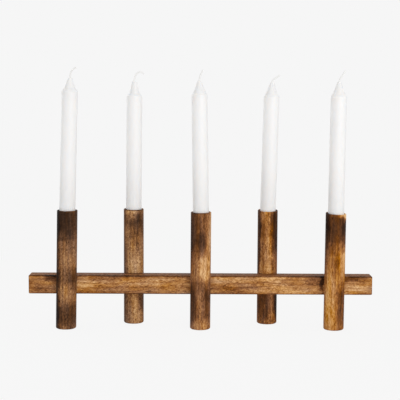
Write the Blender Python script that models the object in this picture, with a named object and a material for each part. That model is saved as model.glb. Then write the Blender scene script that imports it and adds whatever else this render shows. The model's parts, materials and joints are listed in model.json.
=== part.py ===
"""Wooden candle holder: five turned posts lapped onto a square crossbar, with a candle in each.

Metres, +Z up, the table at Z = 0. +X runs along the crossbar and -Y is the front.
Posts 1, 3 and 5 stand in front of the crossbar, posts 2 and 4 behind it.
"""

import math

import bmesh
import bpy
from mathutils import Vector

# Gap left between two pieces that touch on the real object
GLUE_GAP = 0.0003

# Candles: straight household candles with a moulded tip
CANDLE_DIAMETER = 0.022
CANDLE_BODY = 0.1855
CANDLE_BASE_EDGE = 0.0005
SHOULDER_STEP = 0.0022
SHOULDER_RISE = 0.0014
TIP_HEIGHT = 0.0190
TIP_TOP_DIAMETER = 0.0066
TIP_ROUNDING = 0.0014
TIP_HOLLOW = 0.0003
CANDLE_LEANS = (1.55, 0.40, -0.90, 1.25, 0.45)

# Wicks: length standing out of the tip, then the bend half way along it and at its end, in degrees
WICK_DIAMETER = 0.0024
WICK_LENGTHS = (0.0178, 0.0198, 0.0156, 0.0149, 0.0176)
WICK_HALF_BENDS = (28, 55, 22, 57, 36)
WICK_END_BENDS = (79, 160, 30, 32, 15)

# Posts: round, with a blind socket bored in the top for the candle. They were sawn, bored and glued
# by hand, so they lean to the right by some tenths of a degree, one socket is shallower, and each
# top is sawn out of square, by so many degrees down to the right and down to the front
SOCKET_CLEARANCE = 0.0008
SOCKET_WALL = 0.0023
SOCKET_DEPTH = 0.0250
SOCKET_RISES = (0.0015, 0.0, 0.0, 0.0, 0.0)
FOOT_EDGE = 0.0022
RIM_EDGE = 0.0009
POST_HEIGHTS = (0.1651, 0.1631, 0.1633, 0.1620, 0.1623)
POST_LEANS = (0.95, 0.0, 0.20, 0.0, 0.35)
TOP_SLANTS = ((0.0, 1.6), (0.0, 2.2), (0.0, 1.6), (0.0, 5.5), (3.2, 3.8))

# Crossbar: square section with eased edges, carried clear of the table by the posts
BAR_LENGTH = 0.480
BAR_DEPTH = 0.026
BAR_HEIGHT = 0.026
BAR_EDGE = 0.0016
BAR_ABOVE_TABLE = 0.0467

# Laps: each post is notched to half its radius, so that the crossbar sits in it. The crossbar runs
# past the outer posts by the overhang, and the rear posts stand a little further out than half way
LAP_DEPTH = 0.0070
BAR_OVERHANG = 0.054
REAR_PAIR_SPREAD = 0.002

# Dowels: one glued beech pin across each lap, blind in the post and in the crossbar
DOWEL_DIAMETER = 0.008
DOWEL_CHAMFER = 0.0008
DOWEL_IN_BAR = 0.0140
DOWEL_IN_POST = 0.0100
DOWEL_END_ROOM = 0.0005

# Facets round each turned piece
POST_SIDES = 44
CANDLE_SIDES = 36
DOWEL_SIDES = 18
WICK_BORE_SIDES = 10
TIP_STEPS = 4
WICK_STEPS = 12

# Colours of the stained wood, post by post, then of the other pieces
POST_COLOURS = ("#4A3021", "#7A5536", "#5E3F29", "#8A5F38", "#543626")
BAR_COLOUR = "#6F4A2E"
DOWEL_COLOUR = "#D9BF94"
WAX_COLOUR = "#F1F0ED"
WICK_COLOUR = "#ECEBE8"

# Sizes worked out from those above
SOCKET_RADIUS = CANDLE_DIAMETER / 2 + SOCKET_CLEARANCE
POST_RADIUS = SOCKET_RADIUS + SOCKET_WALL
POST_OFFSET = BAR_DEPTH / 2 + GLUE_GAP + POST_RADIUS - LAP_DEPTH
BAR_MIDDLE = BAR_ABOVE_TABLE + BAR_HEIGHT / 2
FRONT_POST_X = BAR_LENGTH / 2 - BAR_OVERHANG
REAR_POST_X = FRONT_POST_X / 2 + REAR_PAIR_SPREAD
POST_PLACES = (
    (-FRONT_POST_X, -1),
    (-REAR_POST_X, 1),
    (0.0, -1),
    (REAR_POST_X, 1),
    (FRONT_POST_X, -1),
)
CUTTER_OVERRUN = 0.005


def clear_scene():
    for obj in list(bpy.data.objects):
        bpy.data.objects.remove(obj, do_unlink=True)


def linear(hex_colour):
    """The linear RGBA of an sRGB colour written as #RRGGBB."""
    channels = [int(hex_colour[i : i + 2], 16) / 255 for i in (1, 3, 5)]
    return [c / 12.92 if c <= 0.04045 else ((c + 0.055) / 1.055) ** 2.4 for c in channels] + [1.0]


def surface(name, hex_colour, roughness):
    material = bpy.data.materials.new(name)
    material.use_nodes = True
    shader = material.node_tree.nodes["Principled BSDF"]
    shader.inputs["Base Color"].default_value = linear(hex_colour)
    shader.inputs["Roughness"].default_value = roughness
    shader.inputs["Metallic"].default_value = 0.0
    material.diffuse_color = linear(hex_colour)
    return material


def object_from(name, bm, material=None):
    """A mesh object in the scene, or a hidden cutter where it has no material."""
    bmesh.ops.recalc_face_normals(bm, faces=bm.faces)
    mesh = bpy.data.meshes.new(name)
    bm.to_mesh(mesh)
    bm.free()
    mesh.shade_smooth()
    mesh.set_sharp_from_angle(angle=math.radians(35))
    obj = bpy.data.objects.new(name, mesh)
    bpy.context.scene.collection.objects.link(obj)
    if material:
        mesh.materials.append(material)
    else:
        obj.hide_render = True
        obj.display_type = "WIRE"
    return obj


def turned(profile, sides):
    """A closed solid turned about Z from (radius, height) points, with flat ends."""
    bm = bmesh.new()
    rings = []
    for radius, height in profile:
        angles = [2 * math.pi * side / sides for side in range(sides)]
        rings.append([bm.verts.new((radius * math.cos(a), radius * math.sin(a), height)) for a in angles])
    for low, high in zip(rings, rings[1:]):
        for side in range(sides):
            after = (side + 1) % sides
            bm.faces.new((low[side], low[after], high[after], high[side]))
    bm.faces.new(rings[0])
    bm.faces.new(rings[-1])
    return bm


def box(width, depth, height):
    """A block centred on its own origin."""
    bm = bmesh.new()
    bmesh.ops.create_cube(bm, size=1.0)
    bmesh.ops.scale(bm, vec=(width, depth, height), verts=bm.verts)
    return bm


def cut(obj, cutter):
    """Takes the cutter's shape out of the object."""
    modifier = obj.modifiers.new("Cut " + cutter.name, "BOOLEAN")
    modifier.operation = "DIFFERENCE"
    modifier.solver = "EXACT"
    modifier.object = cutter


def rounded_foot(radius, edge, steps):
    """Outline points of a rounded arris, from the end face at height 0 out to the side."""
    points = []
    for step in range(steps + 1):
        angle = math.pi / 2 * step / steps
        points.append((radius - edge + edge * math.sin(angle), edge - edge * math.cos(angle)))
    return points


def add_crossbar():
    bar = object_from("crossbar", box(BAR_LENGTH, BAR_DEPTH, BAR_HEIGHT), surface("bar wood", BAR_COLOUR, 0.5))
    bar.location = (0, 0, BAR_MIDDLE)
    eased = bar.modifiers.new("Eased edges", "BEVEL")
    eased.width = BAR_EDGE
    eased.segments = 3
    return bar


def post_profile(height):
    """Outline of a post, its arrises rounded over at the foot and at the rim."""
    foot = rounded_foot(POST_RADIUS, FOOT_EDGE, 3)
    rim = [(radius, height - z) for radius, z in reversed(rounded_foot(POST_RADIUS, RIM_EDGE, 3))]
    return foot + rim


def post_x(number, z):
    """Where the middle line of a leaning post is at a height above the table."""
    return POST_PLACES[number][0] + (z - BAR_MIDDLE) * math.tan(math.radians(POST_LEANS[number]))


def lean_over(bm, number, base):
    """Shifts each level of a shape that stands on a base height sideways, along its leaning post."""
    for vertex in bm.verts:
        vertex.co.x += post_x(number, base + vertex.co.z) - POST_PLACES[number][0]


def socket_depth(number):
    return SOCKET_DEPTH - SOCKET_RISES[number]


def add_post(number):
    """A post in its place, notched for the crossbar and bored for its candle and its dowel."""
    x, side = POST_PLACES[number]
    height = POST_HEIGHTS[number]
    name = f"post_{number + 1}"
    bm = turned(post_profile(height), POST_SIDES)
    to_right, to_front = [math.tan(math.radians(slant)) for slant in TOP_SLANTS[number]]
    for vertex in bm.verts:
        if vertex.co.z > height / 2:
            vertex.co.z += vertex.co.y * to_front - vertex.co.x * to_right
    lean_over(bm, number, 0)
    post = object_from(name, bm, surface(name + " wood", POST_COLOURS[number], 0.5))
    post.location = (x, side * POST_OFFSET, 0)

    floor = height - socket_depth(number)
    reach = socket_depth(number) + CUTTER_OVERRUN
    bm = turned(((SOCKET_RADIUS, 0), (SOCKET_RADIUS, reach)), POST_SIDES)
    lean_over(bm, number, floor)
    socket = object_from(name + "_socket_cutter", bm)
    socket.location = (x, side * POST_OFFSET, floor)
    cut(post, socket)

    depth = LAP_DEPTH + CUTTER_OVERRUN
    notch = object_from(name + "_notch_cutter", box(3 * POST_RADIUS, depth, BAR_HEIGHT + 2 * GLUE_GAP))
    notch.location = (x, side * (POST_OFFSET - POST_RADIUS + LAP_DEPTH - depth / 2), BAR_MIDDLE)
    cut(post, notch)
    return post


def dowel_bore(name, x, side):
    """Cutter for one blind dowel hole that runs into the crossbar and into the post."""
    radius = DOWEL_DIAMETER / 2 + GLUE_GAP
    into_bar = DOWEL_IN_BAR + DOWEL_END_ROOM
    into_post = DOWEL_IN_POST + DOWEL_END_ROOM + GLUE_GAP
    bore = object_from(name, turned(((radius, -into_bar), (radius, into_post)), DOWEL_SIDES))
    place_dowel(bore, x, side)
    return bore


def place_dowel(obj, x, side):
    """Lays a piece along Y with its origin on the crossbar's face, +Z of the piece into the post."""
    obj.location = (x, side * BAR_DEPTH / 2, BAR_MIDDLE)
    obj.rotation_euler = (-side * math.pi / 2, 0, 0)


def add_dowel(number, bar, post):
    x, side = POST_PLACES[number]
    name = f"dowel_{number + 1}"
    bore = dowel_bore(name + "_bore_cutter", x, side)
    cut(bar, bore)
    cut(post, bore)
    radius = DOWEL_DIAMETER / 2
    low = -DOWEL_IN_BAR
    high = DOWEL_IN_POST
    profile = (
        (radius - DOWEL_CHAMFER, low),
        (radius, low + DOWEL_CHAMFER),
        (radius, high - DOWEL_CHAMFER),
        (radius - DOWEL_CHAMFER, high),
    )
    dowel = object_from(name, turned(profile, DOWEL_SIDES), surface(name + " beech", DOWEL_COLOUR, 0.7))
    place_dowel(dowel, x, side)


def candle_profile():
    """Outline of the wax: straight body, stepped shoulder and a tapered tip with a rounded top."""
    radius = CANDLE_DIAMETER / 2
    tip_base = radius - SHOULDER_STEP
    top = TIP_TOP_DIAMETER / 2
    points = [
        (radius - CANDLE_BASE_EDGE, 0),
        (radius, CANDLE_BASE_EDGE),
        (radius, CANDLE_BODY),
        (tip_base + SHOULDER_STEP / 3, CANDLE_BODY + SHOULDER_RISE / 2),
    ]
    rise = TIP_HEIGHT - SHOULDER_RISE - TIP_ROUNDING
    for step in range(TIP_STEPS + 1):
        share = step / TIP_STEPS
        hollow = TIP_HOLLOW * math.sin(math.pi * share)
        radius_here = tip_base + (top - tip_base) * share - hollow
        points.append((radius_here, CANDLE_BODY + SHOULDER_RISE + rise * share))
    points.append((top - TIP_ROUNDING / 2, CANDLE_BODY + TIP_HEIGHT))
    return points


def candle_seat(number):
    """An empty at the foot of a candle, its Z on the candle's own leaning axis."""
    side = POST_PLACES[number][1]
    lean = math.radians(CANDLE_LEANS[number])
    depth = socket_depth(number)
    floor = POST_HEIGHTS[number] - depth
    lift = GLUE_GAP + CANDLE_DIAMETER / 2 * math.sin(abs(lean))
    x = post_x(number, floor + depth / 2) - depth / 2 * math.tan(lean)
    seat = bpy.data.objects.new(f"candle_{number + 1}_seat", None)
    seat.empty_display_size = 0.02
    seat.location = (x, side * POST_OFFSET, floor + lift)
    seat.rotation_euler = (0, lean, 0)
    bpy.context.scene.collection.objects.link(seat)
    return seat


def add_wax(number, seat):
    name = f"candle_{number + 1}"
    wax = object_from(name, turned(candle_profile(), CANDLE_SIDES), surface(name + " wax", WAX_COLOUR, 0.45))
    wax.parent = seat
    radius = WICK_DIAMETER / 2 + GLUE_GAP
    low = -CUTTER_OVERRUN
    high = CANDLE_BODY + TIP_HEIGHT + CUTTER_OVERRUN
    bore = object_from(name + "_wick_cutter", turned(((radius, low), (radius, high)), WICK_BORE_SIDES))
    bore.parent = seat
    cut(wax, bore)


def wick_points(number):
    """The wick's middle line: up the candle's axis, then bending over above the tip."""
    foot = 0.0
    mouth = CANDLE_BODY + TIP_HEIGHT
    points = [Vector((0, 0, foot)), Vector((0, 0, mouth / 2)), Vector((0, 0, mouth))]
    half_bend = math.radians(WICK_HALF_BENDS[number])
    end_bend = math.radians(WICK_END_BENDS[number])
    stride = WICK_LENGTHS[number] / WICK_STEPS
    for step in range(WICK_STEPS):
        share = (step + 0.5) / WICK_STEPS
        bend = 4 * half_bend * share * (1 - share) + end_bend * share * (2 * share - 1)
        points.append(points[-1] + Vector((stride * math.sin(bend), 0, stride * math.cos(bend))))
    return points


def add_wick(number, seat):
    name = f"wick_{number + 1}"
    curve = bpy.data.curves.new(name, "CURVE")
    curve.dimensions = "3D"
    curve.bevel_depth = WICK_DIAMETER / 2
    curve.bevel_resolution = 1
    curve.use_fill_caps = True
    points = wick_points(number)
    spline = curve.splines.new("POLY")
    spline.points.add(len(points) - 1)
    for target, point in zip(spline.points, points):
        target.co = (*point, 1)
    curve.materials.append(surface(name + " cotton", WICK_COLOUR, 0.8))
    wick = bpy.data.objects.new(name, curve)
    bpy.context.scene.collection.objects.link(wick)
    wick.parent = seat


def main():
    clear_scene()
    bar = add_crossbar()
    for number in range(len(POST_PLACES)):
        post = add_post(number)
        add_dowel(number, bar, post)
        seat = candle_seat(number)
        add_wax(number, seat)
        add_wick(number, seat)


main()
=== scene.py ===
"""The looks of a long wooden candle holder with five candles, built around its fixed frame.

Laid out as a Blender add-on: sizes and colours in property groups, one operator for each group of
pieces and one for the stage, and a panel that lists them. Metres, +Z up, the table at Z = 0,
+X along the crossbar and -Y to the front.
"""

import json
import math

import bmesh
import bpy
from bpy.props import FloatProperty, FloatVectorProperty, IntProperty, PointerProperty
from bpy.types import Operator, Panel, PropertyGroup
from mathutils import Euler, Matrix, Vector


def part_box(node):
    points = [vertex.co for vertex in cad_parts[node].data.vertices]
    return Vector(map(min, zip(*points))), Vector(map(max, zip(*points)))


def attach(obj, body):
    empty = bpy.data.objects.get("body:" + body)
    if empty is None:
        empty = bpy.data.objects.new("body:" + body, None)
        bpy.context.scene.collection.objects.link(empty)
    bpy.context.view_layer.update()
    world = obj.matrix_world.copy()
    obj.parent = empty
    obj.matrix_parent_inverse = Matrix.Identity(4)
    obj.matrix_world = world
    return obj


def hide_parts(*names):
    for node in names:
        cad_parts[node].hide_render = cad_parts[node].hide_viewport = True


bl_info = {
    "name": "Wooden candle holder",
    "version": (1, 0, 0),
    "blender": (4, 5, 0),
    "location": "3D View > Sidebar > Candle holder",
    "description": "Dresses the frame of a wooden candle holder with its wood, wax, wicks and studio",
    "category": "Object",
}

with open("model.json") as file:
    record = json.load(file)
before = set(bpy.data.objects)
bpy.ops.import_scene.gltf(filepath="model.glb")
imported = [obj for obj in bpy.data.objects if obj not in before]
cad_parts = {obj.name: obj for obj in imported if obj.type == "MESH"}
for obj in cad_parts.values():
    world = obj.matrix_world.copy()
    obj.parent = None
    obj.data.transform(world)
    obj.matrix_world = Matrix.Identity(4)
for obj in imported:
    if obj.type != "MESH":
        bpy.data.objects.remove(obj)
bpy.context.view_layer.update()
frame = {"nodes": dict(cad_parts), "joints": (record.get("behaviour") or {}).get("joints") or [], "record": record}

MM = 0.001
HOLDER = "holder"

# The feet, in order from left to right: each is where a post's middle line meets the table
FEET = [Vector(mount["pos_m"]) for mount in frame["record"]["mounts"]]
LIFT_AXES = [Vector(joint["axis"]) for joint in frame["joints"]]
BAR_LOW, BAR_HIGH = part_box("crossbar")
BAR_MIDDLE = (BAR_LOW + BAR_HIGH) / 2
BAR_SIZE = BAR_HIGH - BAR_LOW
POST_LOW, POST_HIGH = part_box("post_3")
POST_RADIUS = (POST_HIGH.y - POST_LOW.y) / 2
WAX_LOW, WAX_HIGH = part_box("candle_3")
WAX_RADIUS = (WAX_HIGH.y - WAX_LOW.y) / 2
DOWEL_LOW, DOWEL_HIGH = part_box("dowel_3")
DOWEL_RADIUS = (DOWEL_HIGH.x - DOWEL_LOW.x) / 2

# Each post's top is sawn a little out of square: degrees down to the right and down to the front
TOP_SLANTS = ((0.0, 1.6), (0.0, 2.2), (0.0, 1.6), (0.0, 5.5), (3.2, 3.8))

# Wicks, standing out of the tips: length, then the bend half way along and at the end in degrees
WICK_LENGTHS = (0.0178, 0.0225, 0.0156, 0.0149, 0.0176)
WICK_HALF_BENDS = (28, 44, 22, 57, 36)
WICK_END_BENDS = (79, 155, 30, 32, 15)

# How each candle's tip differs from the mould's: taller, deeper at the shoulder, wider on top, in mm
TIP_CHANGES = (
    (-0.8, 0.4, 0.0),
    (1.5, 1.3, 0.8),
    (0.0, 0.0, 0.0),
    (0.2, 0.3, 0.0),
    (0.2, 0.0, 0.0),
)

# The wood of each post: its tone, from 0, charred, to 1, bare; how rich its colour is; its hue, yellower
# above 0.5; the length of its flecks in mm, with stronger streaks where they are long; and how strong
# the grain is
POST_LOOKS = (
    (0.57, 0.92, 0.504, 3.0, 0.98),
    (0.62, 0.92, 0.505, 2.5, 0.96),
    (0.585, 0.97, 0.500, 6.0, 0.90),
    (0.63, 1.01, 0.500, 4.0, 1.00),
    (0.645, 1.05, 0.499, 7.0, 0.86),
)
BAR_LOOK = (0.68, 0.99, 0.500, 5.0, 0.95)

# Painted highlight along the front of each post's rim where the value is over 0, painted shade where
# it is under 0
RIM_HIGHLIGHT_AND_SHADE = (0.13, -0.32, -0.12, 0.08, -0.02)

# Scorched and bare places on the front of each post, and painted shade. The long dark marks at about
# 80 degrees to the left, and some dark ones far round to the right, run down the posts' edges, where
# the round wood turns from the lamps: they are painted shade over some smoke stain, and the dark mark
# just under the crossbar on the second post is partly painted shadow. Each is (mm below the post's
# top, degrees round from the front to the right, half height in mm, half width in mm, tone, softness).
# A tone under 0 darkens the wood and one over 0 lightens it towards bare wood. The halves reach to
# where a mark is half as strong, and softness is the share of them it fades over.
POST_MARKS = (
    (
        (5, 0, 33, 26, -0.34, 0.5),
        # Painted shade down the left edge, over some smoke stain
        (100, -80, 200, 9, -0.42, 0.5),
        (36, 15, 8, 6, -0.10, 0.6),
        (54, 30, 10, 7, -0.07, 0.6),
        (90, 10, 11, 24, -0.16, 0.7),
        (99, 60, 14, 10, -0.14, 0.6),
        (112, 5, 10, 11, 0.07, 0.7),
        (145, 5, 16, 26, -0.26, 0.5),
    ),
    (
        (4, -8, 6, 9, 0.17, 0.5),
        (14, 14, 9, 13, -0.15, 0.6),
        (18, -30, 10, 8, -0.10, 0.6),
        (28, 26, 14, 13, -0.18, 0.6),
        # Painted shade down the left edge, over some smoke stain
        (100, -78, 200, 7, -0.26, 0.5),
        (10, 60, 18, 9, -0.16, 0.6),
        (51, 25, 8, 5, -0.10, 0.6),
        (82, 5, 12, 9, 0.17, 0.7),
        # Partly painted shadow just under the crossbar
        (110, 10, 6, 22, -0.18, 0.7),
        (134, 20, 26, 6, 0.12, 0.6),
        (134, -30, 26, 6, -0.08, 0.6),
        (124, 68, 22, 9, -0.34, 0.5),
    ),
    (
        (18, -52, 36, 10, -0.26, 0.4),
        # Painted shade down the left edge, over some smoke stain
        (44, -80, 44, 6, -0.14, 0.5),
        (48, -20, 14, 10, -0.08, 0.6),
        (60, -80, 16, 7, -0.10, 0.6),
        (40, 4, 11, 6, -0.24, 0.6),
        (20, 0, 20, 5, -0.04, 0.6),
        (24, 64, 34, 6, 0.18, 0.5),
        (12, 24, 28, 6, -0.10, 0.6),
        (76, 28, 18, 8, 0.22, 0.5),
        (56, 0, 8, 7, -0.08, 0.6),
        (88, 10, 9, 11, 0.09, 0.6),
        (104, -20, 12, 11, -0.11, 0.6),
        (112, 60, 14, 10, -0.18, 0.5),
        (128, 50, 20, 8, -0.18, 0.6),
        (130, -64, 28, 9, -0.34, 0.5),
        (144, 44, 10, 8, -0.09, 0.6),
        (158, 0, 8, 9, 0.16, 0.7),
    ),
    (
        # Painted shade down the left edge, over some smoke stain
        (38, -76, 56, 7.5, -0.38, 0.2),
        (14, 24, 10, 5, -0.08, 0.6),
        (24, -28, 12, 7, -0.13, 0.6),
        (20, 66, 38, 12, -0.40, 0.5),
        (66, 75, 40, 6, -0.16, 0.5),
        (60, 2, 32, 4.5, 0.20, 0.5),
        (60, 34, 30, 5, -0.08, 0.6),
        (84, 3, 5, 9, 0.14, 0.7),
        (132, -24, 26, 10, -0.29, 0.5),
        (132, -80, 26, 7, -0.18, 0.5),
        (132, 80, 26, 10, -0.60, 0.5),
        (132, 20, 24, 4, 0.05, 0.6),
    ),
    (
        (14, -14, 21, 20, -0.34, 0.5),
        # Painted shade down the left edge, over some smoke stain
        (28, -82, 50, 8, -0.31, 0.5),
        (29, 66, 20, 9, -0.29, 0.5),
        (1, 56, 7, 9, 0.62, 0.6),
        (0, 10, 5, 11, 0.12, 0.6),
        (42, -20, 12, 12, -0.14, 0.7),
        (66, 60, 20, 8, 0.22, 0.6),
        (66, 2, 8, 4, -0.12, 0.6),
        (77, -5, 9, 12, -0.07, 0.6),
        (118, -30, 46, 9, 0.17, 0.5),
        (129, 48, 30, 10, -0.24, 0.5),
    ),
)

# The same on the crossbar's front, where the two dark marks just left of the right-hand post are
# painted shadow of that post, the wider one over a dark stain: (mm right of its middle, mm above its
# middle, half length in mm, half height in mm, tone, softness)
BAR_MARKS = (
    (-204, 9, 13, 5, -0.28, 0.6),
    (-212, 13, 22, 2, -0.16, 0.6),
    (-224, -8, 11, 5, -0.14, 0.7),
    (-160, 3, 14, 9, 0.11, 0.6),
    (-92, 2.5, 72, 3.5, 0.10, 0.6),
    (-140, 10, 16, 4, -0.08, 0.6),
    (-108, 13, 20, 2, -0.16, 0.6),
    (-140, -10, 26, 4, -0.12, 0.6),
    (-134, -1, 18, 5, -0.09, 0.6),
    (-36, 9, 24, 5, 0.06, 0.6),
    (21, 10, 10, 5, 0.15, 0.6),
    (62, 9, 46, 4, 0.12, 0.5),
    (100, 10, 16, 4, 0.14, 0.6),
    (30, -4, 22, 4, -0.11, 0.6),
    (58, -7, 26, 7, -0.07, 0.7),
    (110, -8, 34, 6, 0.10, 0.6),
    # Painted shadow of the right-hand post, over a dark stain
    (163, 7, 12, 8, -0.20, 0.6),
    # Painted contact shadow beside the right-hand post
    (170, 4, 3, 12, -0.32, 0.5),
    (214, 9, 20, 4, -0.24, 0.5),
    (208, -5, 22, 6, 0.16, 0.5),
)

# Painted shade on the crossbar's top, which faces up, and along its lower front arris, which faces
# down; stain along its upper front arris, and stain that soaked into its ends
TOP_PAINTED_SHADE = -0.20
UPPER_ARRIS_STAIN = -0.20
LOWER_ARRIS_PAINTED_SHADE = -0.28
END_STAIN = -0.10

# Each piece of wood is cut from another place in the plank: mm along it for each metre on the holder
CUT_APART = 3000

# How far a cutter runs past what it cuts, how near the top the saw cuts a post, the facets round a
# drill, and the angle between two faces from which their arris shades sharp
CUTTER_OVERRUN = 0.005
SAWN_ZONE = 0.004
DRILL_SIDES = 48
ARRIS_ANGLE = math.radians(35)

# The shoulder's outer edge on a candle, and how deep the wick's hole in its top is
SHOULDER_EDGE = 0.0007
WICK_HOLE = 0.006

# Points along each bent wick, points for each turn of its plait, and facets round each strand
WICK_STEPS = 40
PLAIT_STEPS = 12
STRAND_SIDES = 10

# The camera, fitted to the edges of the posts, the crossbar and the feet. The angles are in radians
CAMERA_PLACE = (-0.00266, -1.5, 0.32017)
CAMERA_TURN = -0.001
CAMERA_DIP = 0.09458
CAMERA_ROLL = 0.0047
SENSOR_WIDTH = 36

# The lamps: what they face, and where each stands and how wide it is
LIT_MIDDLE = (0, 0, 0.17)
KEY_PLACE = (1.2, -2.6, 0.8)
KEY_WIDTH = 1.6
BACK_PLACE = (-1.4, 1.4, 0.8)
BACK_WIDTH = 1.2

# The floor: a disc, plain paper beyond FLOOR_PLAIN from its middle. Nearer than FLOOR_NEAR a small
# share of it is matt, which is darker, and the glow of the rest makes up for that
FLOOR_RADIUS = 6.0
FLOOR_NEAR = 0.35
FLOOR_PLAIN = 0.75
NEAR_SHARE = 0.95
NEAR_GLOW = 1.02


def linear(colour):
    """The linear RGBA of an sRGB colour written as #RRGGBB."""
    channels = [int(colour[i : i + 2], 16) / 255 for i in (1, 3, 5)]
    return [c / 12.92 if c <= 0.04045 else ((c + 0.055) / 1.055) ** 2.4 for c in channels] + [1.0]


def size(name, description, default):
    """A length in metres, as a setting."""
    return FloatProperty(name=name, description=description, default=default, min=0, unit="LENGTH")


def colour(name, description, default):
    """A colour as a setting. Its default is written as #RRGGBB."""
    shown = linear(default)[:3]
    return FloatVectorProperty(
        name=name, description=description, default=shown, size=3, min=0, max=1, subtype="COLOR"
    )


class WoodSettings(PropertyGroup):
    """Sizes and stain colours of the posts and the crossbar."""

    foot_edge: size("Foot edge", "Radius sanded onto the foot of each post", 0.0022)
    rim_edge: size("Rim edge", "Radius sanded onto the rim of each post", 0.0009)
    mouth_edge: size("Mouth edge", "Radius eased onto the mouth of each socket", 0.0006)
    socket_clearance: size("Socket clearance", "Room round a candle in its socket", 0.0008)
    bar_edge: size("Bar edge", "Radius sanded onto the arrises of the crossbar", 0.0016)
    glue_line: size("Glue line", "Gap between two glued pieces", 0.0003)
    dowel_room: size("Dowel room", "Room past each end of a dowel", 0.0005)
    lap_depth: size("Lap depth", "How deep each post is notched for the crossbar", 0.0070)
    sides: IntProperty(name="Sides", description="Facets round each post", default=128, min=12)
    # The darkest stops colour smoky wood and also the painted shade that marks and stripes lay on
    char: colour("Char", "Heart of the smoky patches", "#1F1007")
    smoked: colour("Smoked", "Smoky patches", "#422714")
    dark: colour("Dark", "Stained wood", "#704525")
    middle: colour("Middle", "Oiled heartwood", "#9A6438")
    light: colour("Light", "Bare wood under the lacquer", "#C38B52")
    pale: colour("Pale", "Lightest flecks", "#EABD86")


class CandleSettings(PropertyGroup):
    """Sizes and colours of the candles and their wicks."""

    base_edge: size("Base edge", "Radius at the foot of the wax", 0.0005)
    shoulder: size("Shoulder", "How far the moulded shoulder steps in", 0.0022)
    shoulder_rise: size("Shoulder rise", "Height of the moulded shoulder", 0.0030)
    tip: size("Tip", "Height of the tapered tip with its shoulder", 0.0190)
    tip_hollow: size("Tip hollow", "How far the taper's side curves in", 0.0003)
    tip_top: size("Tip top", "Diameter of the blunt top of the tip", 0.0066)
    tip_round: size("Tip rounding", "Radius of the blunt top", 0.0014)
    sides: IntProperty(name="Sides", description="Facets round each candle", default=96, min=12)
    wick: size("Wick", "Diameter of the plaited wick", 0.0024)
    plait: size("Plait", "Length along the wick of one turn of the plait", 0.0032)
    wax: colour("Wax", "White paraffin wax", "#F6F5F4")
    cotton: colour("Cotton", "Waxed white cotton", "#F9F8F6")


class StageSettings(PropertyGroup):
    """The studio: a pale floor and backdrop, and soft lamps."""

    backdrop: colour("Backdrop", "Colour of the floor and backdrop", "#F6F6F6")
    key: FloatProperty(name="Key", description="Front lamp on the right", default=29.0, unit="POWER")
    back: FloatProperty(name="Back", description="Lamp behind, on the left", default=6.0, unit="POWER")
    ambient: FloatProperty(name="Ambient", description="Light from all round", default=0.65, min=0)
    focal: FloatProperty(name="Focal length", description="In millimetres", default=97.03, min=1)


def fill(tree, node, inputs):
    """Gives a node's inputs, by name or number, a value or a socket's link each."""
    for key, value in inputs.items():
        if isinstance(value, bpy.types.NodeSocket):
            tree.links.new(value, node.inputs[key])
        else:
            node.inputs[key].default_value = value


def add(tree, kind, inputs=None, **settings):
    """A new node with its settings and its inputs."""
    node = tree.nodes.new(kind)
    for key, value in settings.items():
        setattr(node, key, value)
    fill(tree, node, inputs or {})
    return node


def weighted(tree, total, value, middle, weight):
    """total + (value - middle) * weight"""
    centred = add(tree, "ShaderNodeMath", {0: value, 1: middle}, operation="SUBTRACT").outputs[0]
    added = {0: centred, 1: weight, 2: total}
    return add(tree, "ShaderNodeMath", added, operation="MULTIPLY_ADD").outputs[0]


def in_millimetres(tree, origin=(0, 0, 0), turn=(0, 0, 0)):
    """Where a point is, in mm from the origin, in axes turned by the given angles."""
    place = add(tree, "ShaderNodeTexCoord").outputs["Object"]
    away = add(tree, "ShaderNodeVectorMath", {0: place, 1: origin}, operation="SUBTRACT").outputs[0]
    inputs = {"Vector": away, "Rotation": turn, "Scale": (1 / MM, 1 / MM, 1 / MM)}
    return add(tree, "ShaderNodeMapping", inputs).outputs[0]


def grain(tree, where, across, along, detail=2.0, **inputs):
    """Noise drawn out along the grain: its spots are so many mm across the grain and along it."""
    scale = (1 / across, 1 / across, 1 / along)
    drawn_out = add(tree, "ShaderNodeMapping", {"Vector": where, "Scale": scale}).outputs[0]
    inputs = {"Vector": drawn_out, "Scale": 1.0, "Detail": detail, **inputs}
    return add(tree, "ShaderNodeTexNoise", inputs).outputs["Fac"]


def emptied(owner):
    """The node tree of a new material or world, with nothing in it."""
    owner.use_nodes = True
    owner.node_tree.nodes.clear()
    return owner.node_tree


def new_material(name):
    """A material with its tree, and the Principled shader in it, which it shows."""
    material = bpy.data.materials.new(name)
    tree = emptied(material)
    shader = add(tree, "ShaderNodeBsdfPrincipled")
    add(tree, "ShaderNodeOutputMaterial", {"Surface": shader.outputs[0]})
    return material, tree, shader


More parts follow.
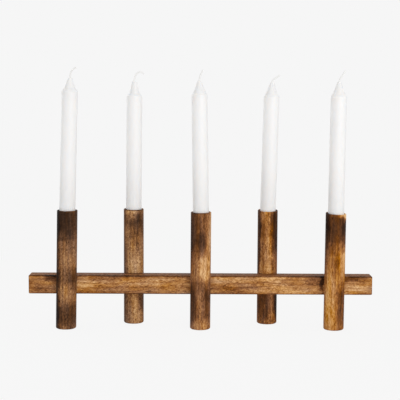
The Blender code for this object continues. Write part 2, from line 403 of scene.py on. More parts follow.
def stained_wood(name, settings, origin, turn, look, marks, stripes):
    """Mango wood, scorched in places, oiled and given a satin lacquer.

    The wood has interlocked grain: long soft streaks with short curly flecks across them and fine
    open pores. Scorching leaves smoky patches with soft borders, over which the grain still shows.
    origin is the foot of the piece's middle line and turn takes its length onto Z. The look is as in
    POST_LOOKS. Each mark is (centre, radii, tone, softness) in mm in the piece's own turned frame,
    and so is each stripe, which keeps an even border. Marks and stripes carry stain, and also painted
    shade, painted shadow and painted highlights.
    """
    tone_of_all, richness, hue, curl, contrast = look
    material, tree, shader = new_material(name)
    laid = in_millimetres(tree, origin, turn)

    # The grain wanders by about 2 mm over a hand's width
    apart = add(tree, "ShaderNodeVectorMath", {0: laid, 1: origin * CUT_APART}, operation="ADD").outputs[0]
    drift = add(tree, "ShaderNodeTexNoise", {"Vector": apart, "Scale": 1 / 45, "Detail": 1.0})
    drifted = {0: drift.outputs["Color"], 1: (6, 6, 0), 2: apart}
    apart = add(tree, "ShaderNodeVectorMath", drifted, operation="MULTIPLY_ADD").outputs[0]
    clouds = grain(tree, apart, across=12, along=60)
    tone = weighted(tree, tone_of_all, clouds, middle=0.5, weight=0.30)

    # Marks of stain and of painted shade and highlight: each fades out from its centre, with a ragged
    # border that the grain draws out
    ragged = add(tree, "ShaderNodeTexNoise", {"Vector": laid, "Scale": 1 / 9, "Detail": 3.0})
    centred = {0: ragged.outputs["Color"], 1: (0.5, 0.5, 0.5)}
    centred = add(tree, "ShaderNodeVectorMath", centred, operation="SUBTRACT").outputs[0]
    ragged = {0: centred, 1: (8, 8, 20), 2: laid}
    ragged = add(tree, "ShaderNodeVectorMath", ragged, operation="MULTIPLY_ADD").outputs[0]
    placed = [(ragged, *mark) for mark in marks] + [(laid, *stripe) for stripe in stripes]
    for where, centre, radii, amount, softness in placed:
        away = add(tree, "ShaderNodeVectorMath", {0: where, 1: centre}, operation="SUBTRACT").outputs[0]
        away = add(tree, "ShaderNodeVectorMath", {0: away, 1: radii}, operation="DIVIDE").outputs[0]
        reach = add(tree, "ShaderNodeVectorMath", {0: away}, operation="LENGTH").outputs["Value"]
        border = {"Value": reach, "From Min": 1 + softness, "From Max": 1 - softness}
        fade = add(tree, "ShaderNodeMapRange", border, interpolation_type="SMOOTHSTEP").outputs[0]
        tone = weighted(tree, tone, fade, middle=0.0, weight=amount)

    # Round the back, where nothing is marked out, smoky patches fall by chance
    smoke = grain(tree, apart, across=16, along=50, detail=3.0)
    smoke = add(tree, "ShaderNodeMapRange", {"Value": smoke, "From Min": 0.50, "From Max": 0.68}).outputs[0]
    depth = add(tree, "ShaderNodeSeparateXYZ", {0: laid}).outputs["Y"]
    behind = add(tree, "ShaderNodeMapRange", {"Value": depth, "From Min": 1, "From Max": 10}).outputs[0]
    smoke = add(tree, "ShaderNodeMath", {0: smoke, 1: behind}, operation="MULTIPLY").outputs[0]
    tone = weighted(tree, tone, smoke, middle=0.0, weight=-0.30)

    # Growth rings, 4.5 mm wide, round a pith that lies beside the piece: plain on its ends, faint
    # along it
    pith = add(tree, "ShaderNodeMapping", {"Vector": apart, "Location": (38, 52, 0), "Scale": (1, 1, 0)})
    pith = add(tree, "ShaderNodeVectorMath", {0: pith.outputs[0]}, operation="LENGTH").outputs["Value"]
    pith = weighted(tree, pith, grain(tree, apart, across=7, along=80), middle=0.5, weight=6.0)
    rings = add(tree, "ShaderNodeMath", {0: pith, 1: math.tau / 4.5}, operation="MULTIPLY").outputs[0]
    rings = add(tree, "ShaderNodeMath", {0: rings}, operation="SINE").outputs[0]

    # The grain itself: long fine streaks, short curly flecks between them, and open pores as dark
    # dashes, all drawn wider than life so that they show. Smoke fills it, so it is weak in dark wood
    fleck = grain(tree, apart, across=2.4, along=curl, detail=3.0, Roughness=0.75, Distortion=1.2)
    streak = grain(tree, apart, across=1.9, along=30, detail=3.0, Roughness=0.7)
    pores = grain(tree, apart, across=0.9, along=4.5, detail=1.0)
    pores = add(tree, "ShaderNodeMapRange", {"Value": pores, "From Min": 0.58, "From Max": 0.70}).outputs[0]
    streaky = 0.25 + curl / 20
    figure = weighted(tree, 0.0, streak, middle=0.5, weight=streaky)
    figure = weighted(tree, figure, fleck, middle=0.5, weight=1.55 - streaky)
    figure = weighted(tree, figure, rings, middle=0.0, weight=0.05)
    figure = weighted(tree, figure, pores, middle=0.0, weight=-0.28)
    faint = 0.35 * contrast
    strength = {"Value": tone, "From Min": 0.15, "From Max": 0.55, "To Min": faint, "To Max": contrast}
    strength = add(tree, "ShaderNodeMapRange", strength).outputs[0]
    grained = {0: figure, 1: strength, 2: tone}
    tone = add(tree, "ShaderNodeMath", grained, operation="MULTIPLY_ADD").outputs[0]

    # From tone to colour
    ramp = add(tree, "ShaderNodeValToRGB", {"Fac": tone})
    stops = ramp.color_ramp.elements
    shades = (settings.char, settings.smoked, settings.dark, settings.middle, settings.light, settings.pale)
    tones = (0.02, 0.20, 0.40, 0.58, 0.76, 0.95)
    for _ in range(len(shades) - len(stops)):
        stops.new(0.5)
    for stop, position, shade in zip(stops, tones, shades):
        stop.position = position
        stop.color = (*shade, 1)

    # Heartwood and sapwood differ in how rich the colour is
    rich = weighted(tree, richness, grain(tree, apart, across=9, along=40), middle=0.5, weight=0.5)
    stained = {"Hue": hue, "Saturation": rich, "Color": ramp.outputs["Color"]}
    stained = add(tree, "ShaderNodeHueSaturation", stained).outputs[0]

    # Pores are rough and sunken
    rough = weighted(tree, pores, fleck, middle=0.5, weight=0.5)
    rough = add(tree, "ShaderNodeMapRange", {"Value": rough, "To Min": 0.50, "To Max": 0.72}).outputs[0]
    height = weighted(tree, fleck, pores, middle=0.0, weight=-1.5)
    bump = add(tree, "ShaderNodeBump", {"Height": height, "Strength": 0.35, "Distance": 0.2 * MM})
    surface = {
        "Base Color": stained,
        "Roughness": rough,
        "Specular IOR Level": 0.05,
        "Normal": bump.outputs[0],
    }
    fill(tree, shader, surface)
    return material


def beech():
    """Beech dowel: pale pinkish straw, short brown flecks, planed and left bare."""
    material, tree, shader = new_material("beech_dowel")
    along_y = in_millimetres(tree, turn=(math.pi / 2, 0, 0))
    fleck = grain(tree, along_y, across=0.5, along=3.0)
    ramp = add(tree, "ShaderNodeValToRGB", {"Fac": fleck})
    brown, straw = ramp.color_ramp.elements
    brown.position = 0.35
    brown.color = linear("#B68F63")
    straw.position = 0.55
    straw.color = linear("#DDC29A")
    bump = add(tree, "ShaderNodeBump", {"Height": fleck, "Strength": 0.3, "Distance": 0.1 * MM})
    fill(tree, shader, {"Base Color": ramp.outputs["Color"], "Roughness": 0.7, "Normal": bump.outputs[0]})
    return material


def wax(settings):
    """Paraffin wax, pressed and dipped: white, softly clouded, light passing some mm into it.

    It passes less far in the thin tips and above the sockets, so that they don't turn grey.
    """
    material, tree, shader = new_material("paraffin_wax")
    place = in_millimetres(tree)
    cloud = grain(tree, place, across=6, along=18, detail=3.0)
    clouded = {0: cloud, 6: [0.965 * c for c in settings.wax] + [1], 7: (*settings.wax, 1)}
    clouded = add(tree, "ShaderNodeMix", clouded, data_type="RGBA").outputs[2]
    rough = add(tree, "ShaderNodeMapRange", {"Value": cloud, "To Min": 0.36, "To Max": 0.50}).outputs[0]

    # How far light passes, in metres, for heights in mm
    height = add(tree, "ShaderNodeSeparateXYZ", {0: place}).outputs["Z"]
    over_socket = {"From Min": 180, "From Max": 240, "To Min": 1.5 * MM, "To Max": 16 * MM}
    over_socket = add(tree, "ShaderNodeMapRange", {"Value": height, **over_socket}).outputs[0]
    under_tip = {"From Min": 306, "From Max": 330, "To Min": 16 * MM, "To Max": 2 * MM}
    under_tip = add(tree, "ShaderNodeMapRange", {"Value": height, **under_tip}).outputs[0]
    passed = add(tree, "ShaderNodeMath", {0: over_socket, 1: under_tip}, operation="MINIMUM").outputs[0]
    fine = grain(tree, place, across=0.8, along=2.0)
    bump = add(tree, "ShaderNodeBump", {"Height": fine, "Strength": 0.15, "Distance": 0.1 * MM})
    surface = {
        "Base Color": clouded,
        "Roughness": rough,
        "IOR": 1.44,
        "Specular IOR Level": 0.4,
        "Subsurface Weight": 1.0,
        "Subsurface Radius": (1.0, 0.95, 0.9),
        "Subsurface Scale": passed,
        "Sheen Weight": 0.50,
        "Sheen Roughness": 0.5,
        "Normal": bump.outputs[0],
    }
    fill(tree, shader, surface)
    return material


def cotton(settings):
    """Plaited cotton wick, dipped in wax: fine white threads with a dull waxy coat."""
    material, tree, shader = new_material("waxed_cotton")
    thread = grain(tree, in_millimetres(tree), across=0.25, along=0.8)
    threaded = {0: thread, 6: [0.94 * c for c in settings.cotton] + [1], 7: (*settings.cotton, 1)}
    threaded = add(tree, "ShaderNodeMix", threaded, data_type="RGBA").outputs[2]
    bump = add(tree, "ShaderNodeBump", {"Height": thread, "Strength": 0.4, "Distance": 0.1 * MM})
    surface = {
        "Base Color": threaded,
        "Roughness": 0.7,
        "Sheen Weight": 1.0,
        "Sheen Roughness": 0.5,
        "Normal": bump.outputs[0],
    }
    fill(tree, shader, surface)
    return material


def new_tree(name, inputs):
    """A geometry node group with a geometry input and output and the named inputs."""
    tree = bpy.data.node_groups.new(name, "GeometryNodeTree")
    tree.interface.new_socket("Geometry", in_out="INPUT", socket_type="NodeSocketGeometry")
    for label, kind in inputs.items():
        tree.interface.new_socket(label, in_out="INPUT", socket_type="NodeSocket" + kind)
    tree.interface.new_socket("Geometry", in_out="OUTPUT", socket_type="NodeSocketGeometry")
    return tree, add(tree, "NodeGroupInput").outputs


def close_tree(tree, geometry, material):
    """Shades the result smooth but for its arrises, gives it its material and ends the tree."""
    smooth = add(tree, "GeometryNodeSetShadeSmooth", {"Geometry": geometry}, domain="FACE").outputs[0]
    angle = add(tree, "GeometryNodeInputMeshEdgeAngle").outputs["Unsigned Angle"]
    arris = add(tree, "FunctionNodeCompare", {0: angle, 1: ARRIS_ANGLE}, operation="GREATER_THAN")
    sharp = {"Geometry": smooth, "Selection": arris.outputs[0], "Shade Smooth": False}
    shaded = add(tree, "GeometryNodeSetShadeSmooth", sharp, domain="EDGE").outputs[0]
    real = add(tree, "GeometryNodeRealizeInstances", {0: shaded}).outputs[0]
    finished = add(tree, "GeometryNodeSetMaterial", {"Geometry": real, "Material": material}).outputs[0]
    add(tree, "NodeGroupOutput", {0: finished})


def lathe(tree, outline, sides):
    """Nodes that turn an outline's points about Z, from its foot up the outside, and close the seam."""
    count = add(tree, "GeometryNodeAttributeDomainSize", {0: outline}, component="MESH")
    count = count.outputs["Point Count"]
    columns = add(tree, "FunctionNodeIntegerMath", {0: sides, 1: 1}, operation="ADD").outputs[0]
    grid = add(tree, "GeometryNodeMeshGrid", {"Vertices X": columns, "Vertices Y": count}).outputs["Mesh"]
    index = add(tree, "GeometryNodeInputIndex").outputs[0]
    row = add(tree, "FunctionNodeIntegerMath", {0: index, 1: count}, operation="MODULO").outputs[0]
    column = add(tree, "FunctionNodeIntegerMath", {0: index, 1: count}, operation="DIVIDE_FLOOR").outputs[0]
    place = add(tree, "GeometryNodeInputPosition").outputs[0]
    sampled = {"Geometry": outline, "Value": place, "Index": row}
    point = add(tree, "GeometryNodeSampleIndex", sampled, data_type="FLOAT_VECTOR").outputs[0]
    step = add(tree, "ShaderNodeMath", {0: math.tau, 1: sides}, operation="DIVIDE").outputs[0]
    angle = add(tree, "ShaderNodeMath", {0: column, 1: step}, operation="MULTIPLY").outputs[0]
    turn = {"Vector": point, "Axis": (0, 0, 1), "Angle": angle}
    turned = add(tree, "ShaderNodeVectorRotate", turn, rotation_type="AXIS_ANGLE").outputs[0]
    moved = add(tree, "GeometryNodeSetPosition", {"Geometry": grid, "Position": turned}).outputs[0]
    merged = add(tree, "GeometryNodeMergeByDistance", {"Geometry": moved, "Distance": 1e-6}).outputs[0]
    return add(tree, "GeometryNodeFlipFaces", {0: merged}).outputs[0]


def post_tree():
    """A post: turned, sawn at the top, leant over, then notched for the crossbar and bored."""
    tree, given = new_tree(
        "Turned post",
        {
            "Sides": "Int",
            "Down To Right": "Float",
            "Down To Front": "Float",
            "Sawn Above": "Float",
            "Lean": "Float",
            "Notch Size": "Vector",
            "Notch Place": "Vector",
            "Bore Radius": "Float",
            "Bore Length": "Float",
            "Bore Place": "Vector",
            "Material": "Material",
        },
    )
    turned = lathe(tree, given["Geometry"], given["Sides"])
    place = add(tree, "GeometryNodeInputPosition").outputs[0]
    parts = add(tree, "ShaderNodeSeparateXYZ", {0: place}).outputs
    heights = {0: parts["Z"], 1: given["Sawn Above"]}
    high = add(tree, "FunctionNodeCompare", heights, operation="GREATER_THAN").outputs[0]
    falls = add(tree, "ShaderNodeCombineXYZ", {"X": given["Down To Right"], "Y": given["Down To Front"]})
    falls = add(tree, "ShaderNodeVectorMath", {0: falls.outputs[0], 1: (-1, 1, 0)}, operation="MULTIPLY")
    rise = add(tree, "ShaderNodeVectorMath", {0: falls.outputs[0], 1: place}, operation="DOT_PRODUCT")
    rise = add(tree, "ShaderNodeCombineXYZ", {"Z": rise.outputs["Value"]}).outputs[0]
    sawn = {"Geometry": turned, "Selection": high, "Offset": rise}
    sawn = add(tree, "GeometryNodeSetPosition", sawn).outputs[0]
    aside = add(tree, "ShaderNodeMath", {0: parts["Z"], 1: given["Lean"]}, operation="MULTIPLY").outputs[0]
    aside = add(tree, "ShaderNodeCombineXYZ", {"X": aside}).outputs[0]
    leaning = add(tree, "GeometryNodeSetPosition", {"Geometry": sawn, "Offset": aside}).outputs[0]
    block = add(tree, "GeometryNodeMeshCube", {"Size": given["Notch Size"]}).outputs["Mesh"]
    bore = {"Vertices": DRILL_SIDES, "Radius": given["Bore Radius"], "Depth": given["Bore Length"]}
    drill = add(tree, "GeometryNodeMeshCylinder", bore).outputs["Mesh"]
    level = Euler((math.pi / 2, 0, 0))
    cut = add(tree, "GeometryNodeMeshBoolean", {0: leaning}, operation="DIFFERENCE", solver="EXACT")
    for cutter in (
        {"Geometry": block, "Translation": given["Notch Place"]},
        {"Geometry": drill, "Translation": given["Bore Place"], "Rotation": level},
    ):
        placed = add(tree, "GeometryNodeTransform", cutter).outputs[0]
        tree.links.new(placed, cut.inputs["Mesh 2"])
    close_tree(tree, cut.outputs["Mesh"], given["Material"])
    return tree


def candle_tree():
    """A candle: turned from its outline."""
    tree, given = new_tree("Turned candle", {"Sides": "Int", "Material": "Material"})
    close_tree(tree, lathe(tree, given["Geometry"], given["Sides"]), given["Material"])
    return tree


def wick_tree():
    """A wick: three strands plaited round a middle line."""
    tree, given = new_tree(
        "Plaited wick",
        {"Radius": "Float", "Plait": "Float", "Spacing": "Float", "Sides": "Int", "Material": "Material"},
    )
    line = add(tree, "GeometryNodeMeshToCurve", {0: given["Geometry"]}).outputs[0]
    line = add(tree, "GeometryNodeResampleCurve", {"Curve": line, "Length": given["Spacing"]}, mode="LENGTH")
    travelled = add(tree, "GeometryNodeSplineParameter").outputs["Length"]
    turns = add(tree, "ShaderNodeMath", {0: travelled, 1: given["Plait"]}, operation="DIVIDE").outputs[0]
    tangent = add(tree, "GeometryNodeInputTangent").outputs[0]
    across = add(tree, "ShaderNodeVectorMath", {0: tangent, 1: (0, 1, 0)}, operation="CROSS_PRODUCT")
    half = add(tree, "ShaderNodeMath", {0: given["Radius"], 1: 0.5}, operation="MULTIPLY").outputs[0]
    ring = add(tree, "GeometryNodeCurvePrimitiveCircle", {"Resolution": given["Sides"], "Radius": half})
    joined = add(tree, "GeometryNodeJoinGeometry")
    for number in range(3):
        phase = {0: turns, 1: math.tau, 2: number * math.tau / 3}
        phase = add(tree, "ShaderNodeMath", phase, operation="MULTIPLY_ADD").outputs[0]

        # A strand swings from side to side once while it passes over and under twice
        swing = add(tree, "ShaderNodeMath", {0: phase}, operation="SINE").outputs[0]
        swing = add(tree, "ShaderNodeMath", {0: swing, 1: half}, operation="MULTIPLY").outputs[0]
        over = add(tree, "ShaderNodeMath", {0: phase, 1: 2.0}, operation="MULTIPLY").outputs[0]
        over = add(tree, "ShaderNodeMath", {0: over}, operation="SINE").outputs[0]
        over = add(tree, "ShaderNodeMath", {0: over, 1: half}, operation="MULTIPLY").outputs[0]
        depth = add(tree, "ShaderNodeCombineXYZ", {"Y": over}).outputs[0]
        offset = {0: across.outputs[0], 1: swing, 2: depth}
        offset = add(tree, "ShaderNodeVectorMath", offset, operation="MULTIPLY_ADD").outputs[0]
        path = {"Geometry": line.outputs[0], "Offset": offset}
        path = add(tree, "GeometryNodeSetPosition", path).outputs[0]
        tube = {"Curve": path, "Profile Curve": ring.outputs[0], "Fill Caps": True}
        tree.links.new(add(tree, "GeometryNodeCurveToMesh", tube).outputs[0], joined.inputs[0])
    close_tree(tree, joined.outputs[0], given["Material"])
    return tree


def arc(middle, radius, start, end, steps):
    """Points of an arc about (radius, height) middle, from one angle in degrees to another."""
    angles = [math.radians(start + (end - start) * step / steps) for step in range(steps + 1)]
    return [(middle[0] + radius * math.cos(a), middle[1] + radius * math.sin(a)) for a in angles]


def post_outline(settings, height, floor):
    """From the middle of the foot, up the outside, over the rim, down the bore to its floor."""
    foot = settings.foot_edge
    rim = settings.rim_edge
    ease = settings.mouth_edge
    bore = WAX_RADIUS + settings.socket_clearance
    points = [(0, 0)]
    points += arc((POST_RADIUS - foot, foot), foot, -90, 0, 8)
    points += arc((POST_RADIUS - rim, height - rim), rim, 0, 90, 6)
    points += arc((bore + ease, height - ease), ease, 90, 180, 5)
    points += [(bore, floor), (0, floor)]
    return points


def candle_outline(settings, length, taller, deeper, wider):
    """From the wick at the foot, up the straight side, over the shoulder to the wick at the top."""
    edge = settings.base_edge
    thread = settings.wick / 2
    body = length - settings.tip - taller * MM
    shoulder = settings.shoulder + deeper * MM
    base = WAX_RADIUS - shoulder
    top = (settings.tip_top + wider * MM) / 2
    crown = settings.tip_round
    points = [(thread, 0)]
    points += arc((WAX_RADIUS - edge, edge), edge, -90, 0, 5)
    points += arc((WAX_RADIUS - SHOULDER_EDGE, body - SHOULDER_EDGE), SHOULDER_EDGE, 0, 65, 5)
    points.append((base + shoulder / 3, body + settings.shoulder_rise / 2))
    foot = body + settings.shoulder_rise
    rise = length - crown - foot
    steps = 16
    for step in range(steps + 1):
        share = step / steps
        hollow = settings.tip_hollow * math.sin(math.pi * share)
        points.append((base + (top - base) * share - hollow, foot + rise * share))
    points += arc((top - crown, length - crown), crown, 15, 80, 6)

    # The wax closes round the wick at the mouth of its hole
    points.append((thread * 0.92, length - 0.2 * MM))
    points.append((thread, length - WICK_HOLE))
    return points


def linked(name, data):
    """A new object in the scene with its mesh, camera or lamp."""
    obj = bpy.data.objects.new(name, data)
    bpy.context.scene.collection.objects.link(obj)
    return obj


def outline_object(name, points):
    """The points as a chain of edges in the XZ plane, for a tree to turn or follow."""
    mesh = bpy.data.meshes.new(name)
    edges = [(i, i + 1) for i in range(len(points) - 1)]
    mesh.from_pydata([(x, 0, z) for x, z in points], edges, [])
    return linked(name, mesh)


def mesh_object(name, bm):
    """The bmesh as an object in the scene. It is freed."""
    mesh = bpy.data.meshes.new(name)
    bm.to_mesh(mesh)
    bm.free()
    return linked(name, mesh)


def baked(obj, tree, values, place, name):
    """Runs a tree on an object with the given inputs and keeps the result as a plain mesh in place."""
    modifier = obj.modifiers.new(tree.name, "NODES")
    modifier.node_group = tree
    sockets = {item.name: item.identifier for item in tree.interface.items_tree if item.in_out == "INPUT"}
    for label, value in values.items():
        modifier[sockets[label]] = value
    graph = bpy.context.evaluated_depsgraph_get()
    mesh = bpy.data.meshes.new_from_object(obj.evaluated_get(graph), depsgraph=graph)
    bpy.data.objects.remove(obj)
    if not mesh.polygons:
        raise RuntimeError(f"{name} came out empty")
    mesh.transform(place)
    mesh.name = name
    return linked(name, mesh)


def settle(piece, body, slot, *nodes):
    """Puts a finished piece on its body and hides the nodes it stands for. Its slot is not used."""
    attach(piece, body)
    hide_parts(*nodes)


def candle_place(number):
    """The matrix that takes a candle from the origin to its leaning place in its socket."""
    axis = LIFT_AXES[number]
    lean = math.atan2(axis.x, axis.z)
    low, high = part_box(f"candle_{number + 1}")
    edge = WAX_RADIUS * math.cos(lean)
    x = low.x + edge if lean > 0 else high.x - edge
    foot = Vector((x, (low.y + high.y) / 2, low.z + WAX_RADIUS * abs(math.sin(lean))))
    return Matrix.Translation(foot) @ Matrix.Rotation(lean, 4, "Y")


def candle_length(number, place):
    """How long a candle's solid is along its own middle line."""
    back = place.inverted()
    return max((back @ vertex.co).z for vertex in frame["nodes"][f"candle_{number + 1}"].data.vertices)


class CANDLEHOLDER_OT_posts(Operator):
    """Turns the five posts, notched and bored, each with its own stained wood"""

    bl_idname = "candleholder.posts"
    bl_label = "Posts"

    def execute(self, context):
        settings = context.scene.candle_holder_wood
        tree = post_tree()
        gap = settings.glue_line
        radius = POST_RADIUS / MM
        for number, foot in enumerate(FEET):
            name = f"post_{number + 1}"
            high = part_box(name)[1]
            to_right, to_front = [math.tan(math.radians(slant)) for slant in TOP_SLANTS[number]]
            rim = POST_RADIUS - settings.rim_edge
            height = high.z - rim * math.hypot(to_right, to_front)
            lean = (high.x - POST_RADIUS - foot.x) / (height - settings.rim_edge)
            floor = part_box(f"candle_{number + 1}")[0].z - gap
            marks = []
            for below, degrees, half_height, half_width, tone, softness in POST_MARKS[number]:
                turn = math.radians(degrees)
                centre = (radius * math.sin(turn), -radius * math.cos(turn), height / MM - below)
                marks.append((centre, (half_width, half_width, half_height), tone, softness))
            # Along the front of the rim: painted highlight where the value is over 0, painted shade under 0
            front_rim = (0, -radius, (height - POST_RADIUS * to_front) / MM)
            material = stained_wood(
                name + "_mango_wood",
                settings,
                foot,
                (0, -math.atan(lean), 0),
                POST_LOOKS[number],
                marks,
                [(front_rim, (20, 9, 1.2), RIM_HIGHLIGHT_AND_SHADE[number], 0.5)],
            )

            # The notch is in the side that faces the crossbar
            inward = 1 if foot.y < 0 else -1
            inner = POST_RADIUS - settings.lap_depth
            depth = settings.lap_depth + CUTTER_OVERRUN
            dowel_low, dowel_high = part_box(f"dowel_{number + 1}")
            dowel = (dowel_low + dowel_high) / 2 - foot
            values = {
                "Sides": settings.sides,
                "Down To Right": to_right,
                "Down To Front": to_front,
                "Sawn Above": height - SAWN_ZONE,
                "Lean": lean,
                "Notch Size": (3 * POST_RADIUS, depth, BAR_SIZE.z + 2 * gap),
                "Notch Place": (dowel.x, inward * (inner + depth / 2), BAR_MIDDLE.z),
                "Bore Radius": DOWEL_RADIUS + gap,
                "Bore Length": dowel_high.y - dowel_low.y + 2 * settings.dowel_room,
                "Bore Place": dowel,
                "Material": material,
            }
            outline = outline_object(name + "_outline", post_outline(settings, height, floor))
            piece = baked(outline, tree, values, Matrix.Translation(foot), "turned_" + name)
            settle(piece, HOLDER, "stained_wood", name)
        return {"FINISHED"}


class CANDLEHOLDER_OT_crossbar(Operator):
    """Planes the crossbar square, rounds its arrises and bores it for the dowels"""

    bl_idname = "candleholder.crossbar"
    bl_label = "Crossbar"

    def execute(self, context):
        settings = context.scene.candle_holder_wood
        bm = bmesh.new()
        bmesh.ops.create_cube(bm, size=1.0)
        bmesh.ops.scale(bm, vec=BAR_SIZE, verts=bm.verts)
        bmesh.ops.translate(bm, vec=BAR_MIDDLE, verts=bm.verts)
        bmesh.ops.bevel(
            bm, geom=bm.edges[:], offset=settings.bar_edge, segments=7, profile=0.5, affect="EDGES"
        )
        bar = mesh_object("planed_crossbar", bm)
        drills = bmesh.new()
        for number in range(len(FEET)):
            low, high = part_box(f"dowel_{number + 1}")
            bmesh.ops.create_cone(
                drills,
                cap_ends=True,
                segments=DRILL_SIDES,
                radius1=DOWEL_RADIUS + settings.glue_line,
                radius2=DOWEL_RADIUS + settings.glue_line,
                depth=high.y - low.y + 2 * settings.dowel_room,
                matrix=Matrix.Translation((low + high) / 2) @ Matrix.Rotation(math.pi / 2, 4, "X"),
            )
        drills = mesh_object("drills", drills)
        cut = bar.modifiers.new("Dowel bores", "BOOLEAN")
        cut.operation = "DIFFERENCE"
        cut.solver = "EXACT"
        cut.object = drills
        graph = context.evaluated_depsgraph_get()
        mesh = bpy.data.meshes.new_from_object(bar.evaluated_get(graph), depsgraph=graph)
        bar.modifiers.remove(cut)
        bpy.data.objects.remove(drills)
        bar.data = mesh
        mesh.shade_smooth()
        mesh.set_sharp_from_angle(angle=ARRIS_ANGLE)

        # In the wood's own frame the crossbar's length is Z and its top is towards -X
        half_length, half_depth, half_height = BAR_SIZE / 2 / MM
        marks = []
        for right, above, length, height, tone, softness in BAR_MARKS:
            marks.append(((-above, -half_depth, right), (height, height, length), tone, softness))
        all_along = 400
        # The top and the lower front arris take painted shade; the upper front arris and the ends take stain
        stripes = (
            ((-half_height, 0, 0), (1.2, 30, all_along), TOP_PAINTED_SHADE, 0.5),
            ((-half_height, -half_depth, 0), (2.2, 1.6, all_along), UPPER_ARRIS_STAIN, 0.5),
            ((half_height, -half_depth, 0), (1.6, 1.6, all_along), LOWER_ARRIS_PAINTED_SHADE, 0.5),
            ((0, 0, half_length), (60, 60, 0.8), END_STAIN, 0.5),
            ((0, 0, -half_length), (60, 60, 0.8), END_STAIN, 0.5),
        )
        turn = (0, -math.pi / 2, 0)
        wood = stained_wood("crossbar_mango_wood", settings, BAR_MIDDLE, turn, BAR_LOOK, marks, stripes)
        mesh.materials.clear()
        mesh.materials.append(wood)
        settle(bar, HOLDER, "stained_wood", "crossbar")
        return {"FINISHED"}


class CANDLEHOLDER_OT_dowels(Operator):
    """Gives the hidden dowels their bare beech"""

    bl_idname = "candleholder.dowels"
    bl_label = "Dowels"

    def execute(self, context):
        material = beech()
        for number in range(len(FEET)):
            frame["nodes"][f"dowel_{number + 1}"].material_slots[0].material = material
        return {"FINISHED"}


class CANDLEHOLDER_OT_candles(Operator):
    """Turns the five candles, each leaning a little in its socket"""

    bl_idname = "candleholder.candles"
    bl_label = "Candles"

    def execute(self, context):
        settings = context.scene.candle_holder_candles
        tree = candle_tree()
        values = {"Sides": settings.sides, "Material": wax(settings)}
        for number, changes in enumerate(TIP_CHANGES):
            name = f"candle_{number + 1}"
            place = candle_place(number)
            outline = candle_outline(settings, candle_length(number, place), *changes)
            piece = baked(outline_object(name + "_outline", outline), tree, values, place, "wax_" + name)
            settle(piece, name + "_body", "wax", name)
        return {"FINISHED"}


class CANDLEHOLDER_OT_wicks(Operator):
    """Plaits the five wicks along their bends"""

    bl_idname = "candleholder.wicks"
    bl_label = "Wicks"

    def execute(self, context):
        settings = context.scene.candle_holder_candles
        tree = wick_tree()
        values = {
            "Radius": settings.wick / 2,
            "Plait": settings.plait,
            "Spacing": settings.plait / PLAIT_STEPS,
            "Sides": STRAND_SIDES,
            "Material": cotton(settings),
        }
        for number, length in enumerate(WICK_LENGTHS):
            place = candle_place(number)
            points = [(0, 0), (0, candle_length(number, place))]
            stride = length / WICK_STEPS
            half_bend = math.radians(WICK_HALF_BENDS[number])
            end_bend = math.radians(WICK_END_BENDS[number])
            for step in range(WICK_STEPS):
                share = (step + 0.5) / WICK_STEPS
                bend = 4 * half_bend * share * (1 - share) + end_bend * share * (2 * share - 1)
                x, z = points[-1]
                points.append((x + stride * math.sin(bend), z + stride * math.cos(bend)))
            line = outline_object("wick_line", points)
            piece = baked(line, tree, values, place, f"plaited_wick_{number + 1}")
            settle(piece, f"candle_{number + 1}_body", "wick", f"wick_{number + 1}")
        return {"FINISHED"}


def square_lamp(name, place, width, power):
    """A soft square lamp that faces the middle of the holder and isn't seen itself."""
    lamp = bpy.data.lights.new(name, "AREA")
    lamp.shape = "SQUARE"
    lamp.size = width
    lamp.energy = power
    obj = linked(name, lamp)
    obj.location = place
    obj.rotation_euler = (Vector(LIT_MIDDLE) - Vector(place)).to_track_quat("-Z", "Y").to_euler()
    obj.visible_camera = False


def seen_directly(tree):
    """1 on rays from the camera and on mirrored and refracted ones, which see the backdrop's colour."""
    path = add(tree, "ShaderNodeLightPath").outputs
    seen = 0.0
    for ray in ("Is Camera Ray", "Is Glossy Ray", "Is Transmission Ray"):
        seen = add(tree, "ShaderNodeMath", {0: seen, 1: path[ray]}, operation="MAXIMUM").outputs[0]
    return seen


def backdrop_world(settings):
    """An even pale backdrop to look at, and a plain level of light from all round."""
    world = bpy.data.worlds.new("Studio")
    tree = emptied(world)
    white = {"Color": (1, 1, 1, 1), "Strength": settings.ambient}
    lit = add(tree, "ShaderNodeBackground", white).outputs[0]
    shown = add(tree, "ShaderNodeBackground", {"Color": (*settings.backdrop, 1), "Strength": 1.0}).outputs[0]
    mixed = add(tree, "ShaderNodeMixShader", {0: seen_directly(tree), 1: lit, 2: shown}).outputs[0]
    add(tree, "ShaderNodeOutputWorld", {"Surface": mixed})
    bpy.context.scene.world = world


def floor_material(settings):
    """Matt pale paper: near the holder it takes a soft shadow, further out it is the backdrop's colour."""
    material = bpy.data.materials.new("backdrop_paper")
    tree = emptied(material)
    place = add(tree, "ShaderNodeTexCoord").outputs["Object"]
    reach = add(tree, "ShaderNodeVectorMath", {0: place}, operation="LENGTH").outputs["Value"]
    share = {"Value": reach, "From Min": FLOOR_NEAR, "From Max": FLOOR_PLAIN, "To Min": NEAR_SHARE}
    share = add(tree, "ShaderNodeMapRange", share, interpolation_type="SMOOTHSTEP").outputs[0]
    glow = {"Value": share, "From Min": NEAR_SHARE, "To Min": NEAR_GLOW}
    glow = add(tree, "ShaderNodeMapRange", glow).outputs[0]
    seen = seen_directly(tree)
    factor = add(tree, "ShaderNodeMath", {0: share, 1: seen}, operation="MULTIPLY").outputs[0]
    matt = add(tree, "ShaderNodeBsdfDiffuse", {"Color": linear("#F0F0F0")}).outputs[0]
    plain = add(tree, "ShaderNodeEmission", {"Color": (*settings.backdrop, 1), "Strength": glow}).outputs[0]
    mixed = add(tree, "ShaderNodeMixShader", {0: factor, 1: matt, 2: plain}).outputs[0]
    add(tree, "ShaderNodeOutputMaterial", {"Surface": mixed})
    return material


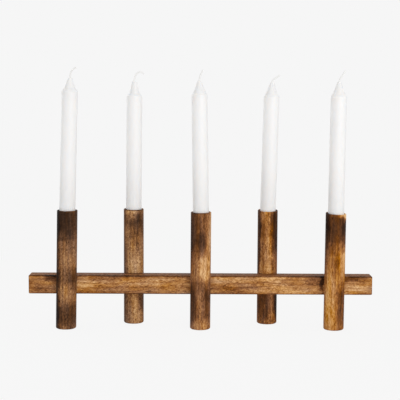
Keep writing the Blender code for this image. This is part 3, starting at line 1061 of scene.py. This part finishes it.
class CANDLEHOLDER_OT_stage(Operator):
    """Sets up the camera, the soft lamps, the pale floor and the backdrop"""

    bl_idname = "candleholder.stage"
    bl_label = "Stage"

    def execute(self, context):
        settings = context.scene.candle_holder_stage
        camera = bpy.data.cameras.new("Camera")
        camera.lens = settings.focal
        camera.sensor_width = SENSOR_WIDTH
        look = Matrix.Translation(CAMERA_PLACE)
        look @= Matrix.Rotation(CAMERA_TURN, 4, "Z")
        look @= Matrix.Rotation(math.pi / 2 - CAMERA_DIP, 4, "X")
        look @= Matrix.Rotation(CAMERA_ROLL, 4, "Z")
        seen = linked("Camera", camera)
        seen.matrix_world = look
        context.scene.camera = seen

        square_lamp("Key", KEY_PLACE, KEY_WIDTH, settings.key)
        square_lamp("Back", BACK_PLACE, BACK_WIDTH, settings.back)
        backdrop_world(settings)

        bm = bmesh.new()
        bmesh.ops.create_circle(bm, cap_ends=True, radius=FLOOR_RADIUS, segments=96)
        floor = mesh_object("floor", bm)
        floor.data.materials.append(floor_material(settings))
        context.scene.view_settings.view_transform = "Standard"
        return {"FINISHED"}


class CANDLEHOLDER_PT_pieces(Panel):
    """Lists the pieces and their sizes and colours"""

    bl_idname = "CANDLEHOLDER_PT_pieces"
    bl_label = "Candle holder"
    bl_space_type = "VIEW_3D"
    bl_region_type = "UI"
    bl_category = "Candle holder"

    def draw(self, context):
        for operator in OPERATORS:
            self.layout.operator(operator.bl_idname)
        for group in SETTINGS:
            settings = getattr(context.scene, group)
            box = self.layout.box()
            for name in settings.__annotations__:
                box.prop(settings, name)


SETTINGS = {
    "candle_holder_wood": WoodSettings,
    "candle_holder_candles": CandleSettings,
    "candle_holder_stage": StageSettings,
}
OPERATORS = (
    CANDLEHOLDER_OT_stage,
    CANDLEHOLDER_OT_crossbar,
    CANDLEHOLDER_OT_posts,
    CANDLEHOLDER_OT_dowels,
    CANDLEHOLDER_OT_candles,
    CANDLEHOLDER_OT_wicks,
)


def register():
    for name, group in SETTINGS.items():
        bpy.utils.register_class(group)
        setattr(bpy.types.Scene, name, PointerProperty(type=group))
    for operator in OPERATORS:
        bpy.utils.register_class(operator)
    bpy.utils.register_class(CANDLEHOLDER_PT_pieces)


def unregister():
    bpy.utils.unregister_class(CANDLEHOLDER_PT_pieces)
    for operator in reversed(OPERATORS):
        bpy.utils.unregister_class(operator)
    for name, group in SETTINGS.items():
        delattr(bpy.types.Scene, name)
        bpy.utils.unregister_class(group)


def main():
    register()
    bpy.ops.candleholder.stage()
    bpy.ops.candleholder.crossbar()
    bpy.ops.candleholder.posts()
    bpy.ops.candleholder.dowels()
    bpy.ops.candleholder.candles()
    bpy.ops.candleholder.wicks()


if __name__ == "__main__":
    main()
